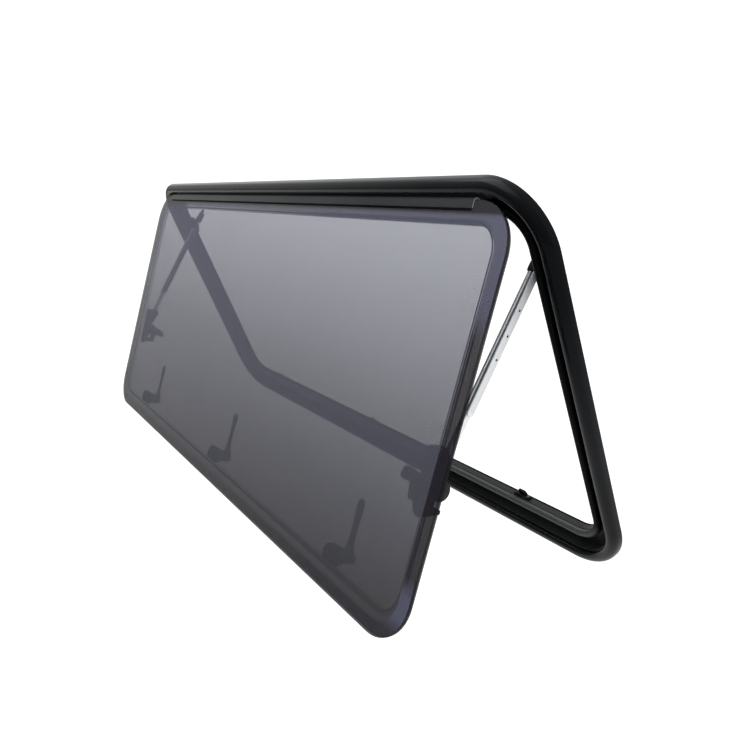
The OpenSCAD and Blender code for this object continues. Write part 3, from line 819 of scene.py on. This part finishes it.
# ---------------------------------------------------------------- stays, their brackets and knobs
for nm, sg in (("left", -1), ("right", 1)):
    mir = Matrix.Scale(-1, 4, (1, 0, 0)) if sg < 0 else Matrix.Identity(4)

    def fl(part):
        return moved(part, mir)

    # bracket on the pane: base plate, two cheeks, web and boss
    def slab(x0, x1, pts, c=0.3, r=0.8):
        q = arc_fillet([(q_[0], -q_[1], q_[2] if len(q_) > 2 else r) for q_ in pts], 5)
        e = prism(q, x0, x1, c)
        return ([(v[2], v[0], v[1]) for v in e[0]], e[1])

    plate = prism(arc_fillet([(438, 187, 2), (438, 121, 9.5), (458.2, 121, 9.5), (458.2, 187, 1), (456.9, 187, 0.2), (456.9, 159, 0.2), (449.6, 159, 0.2), (449.6, 187, 0.2)], 8), -9.5, -11.5, 0.4, 0.0)
    parts = [plate]
    parts.append(slab(440.1, 449.4, [(187, 10, 0), (188, 14), (188, 22, 3), (186, 26.5, 2.5), (181, 27, 3), (176, 25, 4), (157, 17.5, 4), (134, 17.5, 3), (126, 15.5, 2), (123.5, 12, 1), (123.5, 10, 0)], 0.5))
    parts.append(slab(456.9, 458.15, [(187, 10, 0), (187, 18, 3), (182, 21, 4), (176, 23.5, 4), (157, 22, 0), (157, 10, 0)], 0.3))
    parts.append(slab(440.2, 458.1, [(158, 10, 0), (158, 17), (134, 17), (131, 27, 1.2), (127, 27, 1.2), (124.5, 12), (124.5, 10, 0)], 0.4))
    for x0, x1, r in ((437.0, 458.1, 7.5), (452.0, 458.15, 10.0), (416.2, 438.0, 3.0)):
        parts.append(rod_x(x0, x1, r, KS, -KD, 44, 0.5))
    parts.append(rod_x(449.2, 449.9, 2.0, SS, -SD, 20, 0.1))
    parts.append(slab(438.6, 440.4, [(184, 11.2, 0.5), (184, 22, 2.5), (178, 22.5, 3), (160, 15, 3), (160, 11.2, 0.5)], 0.3))
    place(join("visual_pane_bracket_" + nm, [fl(p) for p in parts], PANE_M, [M_FITTING], 35), "pane", ["pane_bracket_" + nm])
    # clamp knob: a wing at its free end, a neck, and a second finger nearer the bracket
    wing = arc_fillet([(155.2, 16.3, 2.2), (156.9, 21.0, 4.0), (152.6, 31.0, 4.0), (148.0, 34.2, 2.8), (140.9, 32.0, 2.8), (144.9, 22.6, 2.4), (142.6, 17.6, 2.4), (146.0, 14.2, 3.0)], 6)
    claw = arc_fillet([(154.0, 17.5, 3.0), (153.0, 28.0, 3.0), (145.0, 27.4, 3.0), (141.6, 23.2, 1.6), (128.6, 22.9, 2.6), (127.6, 17.4, 2.4), (141.0, 15.8, 3.0), (148.0, 15.2, 3.0)], 6)

    def kx(pts, x0, x1, c):
        e = prism([(a_, -d_) for a_, d_ in pts], x0, x1, c, c)
        return ([(v[2], v[0], v[1]) for v in e[0]], e[1])

    k1 = kx(wing, 404.1, 413.2, 1.3)
    k2 = kx(claw, 419.2, 428.6, 1.1)
    k3 = rod_x(412.5, 436.3, 6.4, KS, -KD, 40, 0.5)
    ribs_ = [rod_x(429.4 + 2.3 * j, 430.6 + 2.3 * j, 6.5, KS, -KD, 40, 0.3) for j in range(3)]
    place(join("visual_clamp_knob_" + nm, [fl(p) for p in [k1, k2, k3] + ribs_], PANE_M, [M_LEVER], 35), "knob_" + nm, ["clamp_knob_" + nm])

    SM = stay_matrix(sg)
    # channel: crowned front with a ridge and a ribbed groove, open at the back
    sec = arc_fillet([(-4.8, -2.3, 0.9), (-3.4, -3.45, 1.5), (-0.9, -3.98, 0.5), (0.5, -3.98, 0.35), (0.85, -3.3, 0.15), (3.1, -3.3, 0.15), (3.45, -3.98, 0.25), (4.8, -3.98, 0.45), (4.8, 3.95, 0.4), (3.8, 3.95, 0.3), (3.8, -2.7, 0.3), (-3.8, -2.7, 0.3), (-3.8, 3.95, 0.3), (-4.8, 3.95, 0.4)], 3)
    if area2(sec) < 0:
        sec = sec[::-1]
    outer = prism(sec, -7.0 - CHANNEL_L, -7.0, 0.12)
    ch = obj_from("visual_stay_channel_" + nm, *fl(outer), SM, [M_ALU, M_ALU_CROWN_SHADE, M_ALU_GROOVE_SHADE, M_ALU_RIDGE_HIGHLIGHT, M_ALU_INNER_SHADE], None, 32)
    ctr = []
    for t in (44.6, 70.6, 94.3):
        h = lathe([(1.2, 0), (1.2, 3.9), (1.2, 4.45), (1.55, 4.95), (1.6, 6.0)], 20)
        h = ([(v[2], 0.8 + v[0], -t + v[1]) for v in h[0]], h[1])
        ctr.append(obj_from("c_h", *fl(h), SM))
    cut(ch, ctr)
    tidy(ch, 32)
    # each face takes a lit or shaded copy by where it faces: painted shade on the crown left of the ridge, in the
    # groove, on the inward side and on the back; painted highlight on the ridge tops
    for f in ch.data.polygons:
        u = f.center.x * sg / MM
        if f.normal.y < -0.35 and abs(f.normal.z) < 0.5:
            f.material_index = 1 if u < -1.0 else (3 if u < 0.62 or u > 3.3 else 2)
        else:
            f.material_index = 4 if f.normal.x * sg < -0.5 or f.normal.y > 0.5 else 0
    place(ch, "stay_" + nm, ["stay_channel_" + nm])
    # rounded end tab with a rivet at the lower end of the channel, and a dark strip behind the holes, painted shade
    # that makes the holes look dark inside
    tab = prism(arc_fillet([(-3.7, -CHANNEL_L - 5.0, 0), (3.85, -CHANNEL_L - 5.0, 0), (3.85, -CHANNEL_L - 11.2, 2.4), (-2.4, -CHANNEL_L - 11.2, 2.4), (-3.7, -CHANNEL_L - 8.6, 1.0)], 6), 3.2, 4.75, 0.25)
    tab = ([(v[2], v[0], v[1]) for v in tab[0]], tab[1])
    rv = lathe([(1.9, 4.7), (1.9, 4.82), (1.5, 5.1), (0.8, 5.25), (0.0, 5.3)], 24)
    rv = ([(v[2] - 0.5, 0.4 + v[0], -CHANNEL_L - 0.6 + v[1]) for v in rv[0]], rv[1])
    place(join("visual_stay_rivet_" + nm, [fl(rv), fl(tab)], SM, [M_RIVET], 35), "stay_" + nm)
    hole_shade = prism(arc_fillet([(-2.2, -CHANNEL_L, 0.3), (3.2, -CHANNEL_L, 0.3), (3.2, -30, 0.3), (-2.2, -30, 0.3)], 2), 3.12, 3.78, 0.08)
    hole_shade = ([(v[2], v[0], v[1]) for v in hole_shade[0]], hole_shade[1])
    place(join("visual_stay_hole_shade_strip_" + nm, [fl(hole_shade)], SM, [M_LINER], 35), "stay_" + nm)
    # end cap
    capo = arc_fillet([(-4.0, -7.3, 0.3), (4.0, -7.3, 0.3), (4.6, -3.0, 2), (5.3, 1.2, 3), (3.9, 3.9, 3), (0, 5.45, 3), (-3.2, 4.35, 3), (-4.9, 2.2, 2.5), (-4.9, -4.5, 1.5)], 4)
    cp = prism(capo, -4.8, 4.8, 0.6)
    cp = ([(v[2], v[0], v[1]) for v in cp[0]], cp[1])
    place(join("visual_stay_cap_" + nm, [fl(cp)], SM, [M_FITTING], 35), "stay_" + nm, ["stay_cap_" + nm])
    # rod
    rs = prism(arc_fillet([(-2.95, -2.4, 0.5), (2.95, -2.4, 0.5), (2.95, 3.55, 0.8), (-2.95, 3.55, 0.8)], 4), -STAY_L, -78.2, 0.2)
    eye = rod_x(-2.95, 2.95, 3.5, 0.0, -STAY_L, 40, 0.3)
    place(join("visual_stay_rod_" + nm, [fl(rs), fl(eye)], SM, [M_ROD], 35), "rod_" + nm, ["stay_rod_" + nm])


def refinish(name, mat):
    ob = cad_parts[name]
    if not ob.data.materials:
        ob.data.materials.append(mat)
    for sl in ob.material_slots:
        sl.material = mat


# the hinge rail takes the hinge profile's painted light too
refinish("hinge_rail", M_HINGE)
for nm in ("left", "right"):
    refinish("stay_mount_" + nm, M_FITTING)

# ---------------------------------------------------------------- floor, light and camera
fl_me = bpy.data.meshes.new("floor")
fl_me.from_pydata([(-14, -14, -1.6), (14, -14, -1.6), (14, 14, -1.6), (-14, 14, -1.6)], [], [(0, 1, 2, 3)])
floor = bpy.data.objects.new("floor", fl_me)
bpy.context.scene.collection.objects.link(floor)
m, nt, bs = new_mat("pale_floor")
bs.inputs["Roughness"].default_value = 0.9
bs.inputs["Specular IOR Level"].default_value = 0.1
c = mix_col(nt, noise_(nt, coords(nt), 3.0), (0.80, 0.80, 0.80), (0.84, 0.84, 0.84))
nt.links.new(c, bs.inputs["Base Color"])
em = nt.nodes.new("ShaderNodeEmission")
em.inputs["Strength"].default_value = 1.25
lp = nt.nodes.new("ShaderNodeLightPath")
mx = nt.nodes.new("ShaderNodeMixShader")
nt.links.new(lp.outputs["Is Camera Ray"], mx.inputs[0])
nt.links.new(bs.outputs[0], mx.inputs[1])
nt.links.new(em.outputs[0], mx.inputs[2])
nt.links.new(mx.outputs[0], nt.nodes["Material Output"].inputs[0])
fl_me.materials.append(m)

world = bpy.data.worlds.new("studio")
bpy.context.scene.world = world
world.use_nodes = True
wt = world.node_tree
wt.nodes.clear()
wo = wt.nodes.new("ShaderNodeOutputWorld")
tc = wt.nodes.new("ShaderNodeTexCoord")
sp_ = wt.nodes.new("ShaderNodeSeparateXYZ")
wt.links.new(tc.outputs["Generated"], sp_.inputs[0])
up_ = math_(wt, "MULTIPLY_ADD", sp_.outputs[2], 0.5, 0.5)
# the studio in front is dim, the white backdrop behind the window is bright
front = ramp(wt, up_, [(0.0, (0.02, 0.02, 0.02)), (0.40, (0.03, 0.03, 0.03)), (0.50, (0.16, 0.16, 0.17)), (0.58, (0.26, 0.26, 0.28)), (0.75, (0.42, 0.42, 0.45)), (1.0, (0.9, 0.9, 0.92))])
rear = ramp(wt, up_, [(0.0, (0.30, 0.30, 0.30)), (0.35, (0.65, 0.65, 0.65)), (0.5, (0.95, 0.95, 0.95)), (0.8, (1.0, 1.0, 1.0)), (1.0, (0.9, 0.9, 0.92))])
side = wt.nodes.new("ShaderNodeMapRange")
side.interpolation_type = "SMOOTHSTEP"
side.inputs["From Min"].default_value = 0.0
side.inputs["From Max"].default_value = 0.35
wt.links.new(sp_.outputs[1], side.inputs["Value"])
sky = mix_col(wt, side.outputs[0], front, rear)
b1 = wt.nodes.new("ShaderNodeBackground")
wt.links.new(sky, b1.inputs[0])
b1.inputs[1].default_value = 1.0
b2 = wt.nodes.new("ShaderNodeBackground")
b2.inputs[0].default_value = (1, 1, 1, 1)
b2.inputs[1].default_value = 1.25
lp = wt.nodes.new("ShaderNodeLightPath")
mx = wt.nodes.new("ShaderNodeMixShader")
wt.links.new(lp.outputs["Is Camera Ray"], mx.inputs[0])
wt.links.new(b1.outputs[0], mx.inputs[1])
wt.links.new(b2.outputs[0], mx.inputs[2])
wt.links.new(mx.outputs[0], wo.inputs[0])


def softbox(name, loc, target, w, h, power, color=(1, 1, 1)):
    d = bpy.data.lights.new(name, "AREA")
    d.shape, d.size, d.size_y, d.energy, d.color = "RECTANGLE", w, h, power, color
    ob = bpy.data.objects.new(name, d)
    bpy.context.scene.collection.objects.link(ob)
    ob.location = loc
    ob.rotation_euler = (Vector(target) - Vector(loc)).to_track_quat("-Z", "Y").to_euler()
    return ob


l1 = softbox("soft_top", (-0.3, -0.2, 2.4), (-0.1, 0, 0.2), 2.6, 1.8, 26)
l2 = softbox("soft_left", (-2.4, -1.8, 1.5), (0, -0.1, 0.2), 1.8, 1.8, 16)
l2.visible_glossy = False
l3 = softbox("soft_right", (1.7, -0.25, 0.55), (0.45, 0.0, 0.25), 0.7, 0.7, 7)
l3.visible_glossy = False

cam_d = bpy.data.cameras.new("camera")
cam = bpy.data.objects.new("camera", cam_d)
bpy.context.scene.collection.objects.link(cam)
rv_ = Vector((2.0185381408, 0.8067424295, -0.9134500522))
R = Matrix.Rotation(rv_.length, 3, rv_.normalized())
rot = R.transposed() @ Matrix(((1, 0, 0), (0, -1, 0), (0, 0, -1)))
cam.matrix_world = Matrix.Translation((0.899945, -0.399325, 0.597994)) @ rot.to_4x4()
cam_d.sensor_fit = "AUTO"
cam_d.sensor_width = 36.0
cam_d.lens = 686.0265 / 750 * 36
cam_d.shift_x = (375 - 366.6945) / 750
cam_d.shift_y = (384.1542 - 375) / 750
cam_d.clip_start = 0.02
cam_d.clip_end = 60
bpy.context.scene.camera = cam
bpy.context.scene.view_settings.view_transform = "Standard"
bpy.context.scene.view_settings.look = "None"

bpy.context.view_layer.update()
